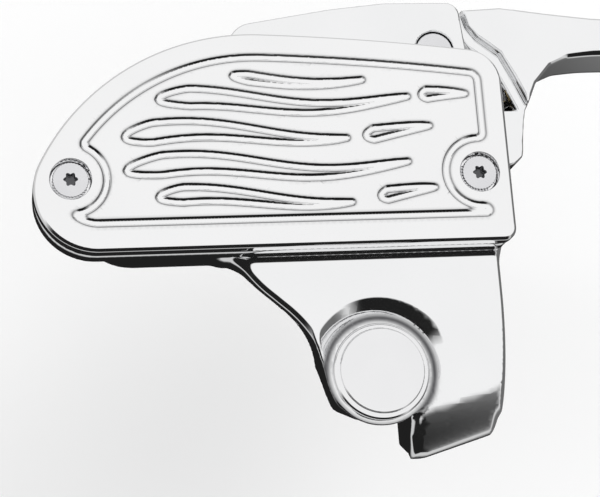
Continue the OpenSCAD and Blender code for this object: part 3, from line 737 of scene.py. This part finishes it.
# ---------------------------------------------------------------- stage
TARGET = Vector((-0.0331, 0.0071, 0.0290))
AZIMUTH, ELEVATION, ROLL, DISTANCE, LENS = -37.7, 72.44, -4.4, 0.4, 123.26
KEY_AT, KEY_SIZE, KEY_POWER = (0.35, 0.5, 0.8), 0.5, 2.0
azimuth, elevation, roll = (math.radians(v) for v in (AZIMUTH, ELEVATION, ROLL))
back = Vector((math.sin(azimuth) * math.cos(elevation), -math.cos(azimuth) * math.cos(elevation),
               math.sin(elevation)))
side = (-back).cross(Vector((0, 1, 0))).normalized()
up = side.cross(-back)
right = math.cos(roll) * side + math.sin(roll) * up
top = -math.sin(roll) * side + math.cos(roll) * up
camera_data = bpy.data.cameras.new("camera")
camera_data.sensor_width = 36
camera_data.lens = LENS
camera_data.clip_start, camera_data.clip_end = 0.01, 50
camera = bpy.data.objects.new("camera", camera_data)
bpy.context.scene.collection.objects.link(camera)
rotation = Matrix((right, top, back)).transposed().to_4x4()
camera.matrix_world = Matrix.Translation(TARGET + back * DISTANCE) @ rotation
bpy.context.scene.camera = camera

floor_mesh = bpy.data.meshes.new("floor")
FLOOR_SIZE, FLOOR_DROP = 6.0, -0.09
corners = [(-FLOOR_SIZE, -FLOOR_SIZE, FLOOR_DROP), (FLOOR_SIZE, -FLOOR_SIZE, FLOOR_DROP),
           (FLOOR_SIZE, FLOOR_SIZE, FLOOR_DROP), (-FLOOR_SIZE, FLOOR_SIZE, FLOOR_DROP)]
floor_mesh.from_pydata(corners, [], [(0, 1, 2, 3)])
floor = bpy.data.objects.new("floor", floor_mesh)
bpy.context.scene.collection.objects.link(floor)
floor_material, floor_tree, floor_bsdf = shader("pale_floor", Roughness=0.7)
floor_tree.links.new(tint(floor_tree, noise(floor_tree, 3), (0.93, 0.93, 0.93), (0.95, 0.95, 0.95)),
                     floor_bsdf.inputs["Base Color"])
floor_mesh.materials.append(floor_material)
floor.visible_glossy = False

world = bpy.data.worlds.new("studio")
bpy.context.scene.world = world
world.use_nodes = True
tree = world.node_tree
tree.nodes.clear()


def math_node(op, a, b=None, clamp=False):
    node = tree.nodes.new("ShaderNodeMath")
    node.operation, node.use_clamp = op, clamp
    for socket, value in zip(node.inputs, (a, b)):
        if value is None:
            continue
        if isinstance(value, (int, float)):
            socket.default_value = value
        else:
            tree.links.new(value, socket)
    return node.outputs[0]


def smooth_step(value, a, b):
    node = tree.nodes.new("ShaderNodeMapRange")
    node.interpolation_type = "SMOOTHSTEP"
    node.inputs["From Min"].default_value, node.inputs["From Max"].default_value = a, b
    tree.links.new(value, node.inputs["Value"])
    return node.outputs["Result"]


REARWARD, LEAST_LEVEL = (-0.225, -0.974), 0.001

direction = tree.nodes.new("ShaderNodeTexCoord").outputs["Generated"]
split = tree.nodes.new("ShaderNodeSeparateXYZ")
tree.links.new(direction, split.inputs["Vector"])
dx, dy, dz = split.outputs
# the studio is bright overhead and to the sides; it is dark low down towards the back of the motorcycle,
# and straight below
level_squared = math_node("ADD", math_node("MULTIPLY", dx, dx), math_node("MULTIPLY", dy, dy))
level = math_node("MAXIMUM", math_node("POWER", level_squared, 0.5), LEAST_LEVEL)
rearward = math_node("ADD", math_node("MULTIPLY", dx, REARWARD[0]), math_node("MULTIPLY", dy, REARWARD[1]))
dark_side = smooth_step(math_node("DIVIDE", rearward, level), 0.45, 0.75)
below_top = math_node("SUBTRACT", 1.0, smooth_step(dz, 0.42, 0.56))
low = math_node("MULTIPLY", below_top, smooth_step(dz, -0.76, -0.66))
sector = math_node("MULTIPLY", dark_side, low)
# a dark patch at the grip's side, low down
grip_side = smooth_step(math_node("DIVIDE", dx, level), 0.6, 0.85)
grip_low = math_node("SUBTRACT", 1.0, smooth_step(dz, 0.2, 0.4))
grip = math_node("MULTIPLY", math_node("MULTIPLY", grip_side, grip_low), 0.85)
down = math_node("SUBTRACT", 1.0, smooth_step(dz, -0.93, -0.78))
under = math_node("MULTIPLY", math_node("SUBTRACT", 1.0, smooth_step(dz, -0.25, 0.1)), 0.35)
shade = math_node("MAXIMUM", math_node("MAXIMUM", sector, down), math_node("MAXIMUM", grip, under))
bright = math_node("SUBTRACT", 1.0, math_node("MULTIPLY", shade, 0.985))
light_path = tree.nodes.new("ShaderNodeLightPath")
glossy = tree.nodes.new("ShaderNodeBackground")
tree.links.new(bright, glossy.inputs["Strength"])
plain = tree.nodes.new("ShaderNodeBackground")
plain.inputs["Strength"].default_value = 1.0
for node, colour in ((glossy, (1, 1, 1, 1)), (plain, (0.97, 0.97, 0.97, 1))):
    node.inputs["Color"].default_value = colour
mix = tree.nodes.new("ShaderNodeMixShader")
tree.links.new(light_path.outputs["Is Glossy Ray"], mix.inputs[0])
tree.links.new(plain.outputs[0], mix.inputs[1])
tree.links.new(glossy.outputs[0], mix.inputs[2])
tree.links.new(mix.outputs[0], tree.nodes.new("ShaderNodeOutputWorld").inputs["Surface"])

key_data = bpy.data.lights.new("key", "AREA")
key_data.shape, key_data.size, key_data.energy = "DISK", KEY_SIZE, KEY_POWER
key = bpy.data.objects.new("key", key_data)
bpy.context.scene.collection.objects.link(key)
key.location = KEY_AT
key.visible_glossy = False
key.rotation_mode = "QUATERNION"
key.rotation_quaternion = (Vector(key.location) - TARGET).to_track_quat("Z", "Y")

bpy.context.scene.view_settings.view_transform = "Standard"
